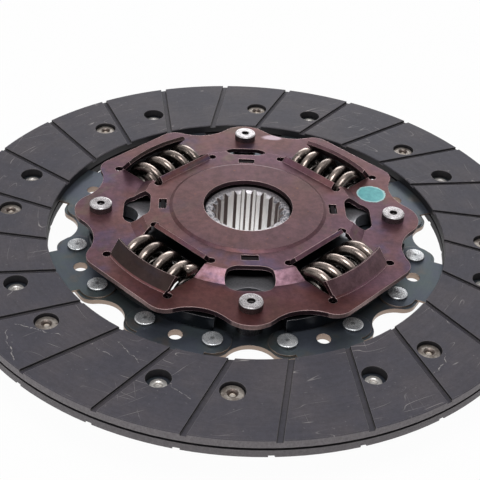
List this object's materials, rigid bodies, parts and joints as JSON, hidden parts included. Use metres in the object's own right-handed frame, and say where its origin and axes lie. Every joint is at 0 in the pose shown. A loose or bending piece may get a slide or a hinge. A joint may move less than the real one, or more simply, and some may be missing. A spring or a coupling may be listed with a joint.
{
  "type": "clutch disc",
  "caption": "Dry friction clutch disc: two grooved ring facings riveted to waved spring segments, a coil-sprung torsion damper between two plates, and a splined hub.",
  "frame": {"origin": "on the hub's axis, half way between the two friction faces", "axes": "+Z along the hub's axis from its long boss towards the retainer plate; +X through a stop pin"},
  "size_m": [0.225, 0.225, 0.0332],
  "materials": {
    "facing": "moulded organic friction compound, dark grey, skimmed flat, light scratches",
    "segment_steel": "blued spring steel, oily sheen",
    "segment_rivet_steel": "cold-formed steel, dull",
    "rivet_metal": "bright plated tubular rivets",
    "drive_plate_steel": "hardened pressed steel, blue-black",
    "retainer_steel": "hardened pressed steel, brown heat tint",
    "pin_steel": "riveted steel pins, bright heads",
    "hub_steel": "machined and broached steel",
    "spring_steel": "oil-tempered spring wire",
    "ring_steel": "pressed steel",
    "friction_compound": "moulded friction washer",
    "bush_plastic": "moulded plastic bush"
  },
  "bodies": {
    "disc": {"facing_upper": "facing", "facing_lower": "facing", "cushion_segment_1": "segment_steel", "cushion_segment_2": "segment_steel", "cushion_segment_3": "segment_steel", "cushion_segment_4": "segment_steel", "cushion_segment_5": "segment_steel", "cushion_segment_6": "segment_steel", "cushion_segment_7": "segment_steel", "cushion_segment_8": "segment_steel", "segment_rivets": "segment_rivet_steel", "facing_rivets_upper": "rivet_metal", "facing_rivets_lower": "rivet_metal", "drive_plate": "drive_plate_steel", "retainer_plate": "retainer_steel", "stop_pins": "pin_steel", "outer_spring_1": "spring_steel", "outer_spring_2": "spring_steel", "outer_spring_3": "spring_steel", "outer_spring_4": "spring_steel", "inner_spring_1": "spring_steel", "inner_spring_2": "spring_steel", "inner_spring_3": "spring_steel", "inner_spring_4": "spring_steel", "friction_washer_upper": "friction_compound", "friction_washer_lower": "friction_compound", "pressure_ring": "ring_steel", "disc_spring": "ring_steel", "hub_bush": "bush_plastic"},
    "hub": {"hub": "hub_steel"}
  },
  "joints": [
    {"name": "hub_twist", "type": "hinge", "parent": "disc", "child": "hub", "pos_m": [0, 0, 0], "axis": [0, 0, 1], "range_deg": [-7, 7], "stiffness_Nm_per_rad": 860, "deforming": ["outer_spring_1", "outer_spring_2", "outer_spring_3", "outer_spring_4", "inner_spring_1", "inner_spring_2", "inner_spring_3", "inner_spring_4"]}
  ]
}
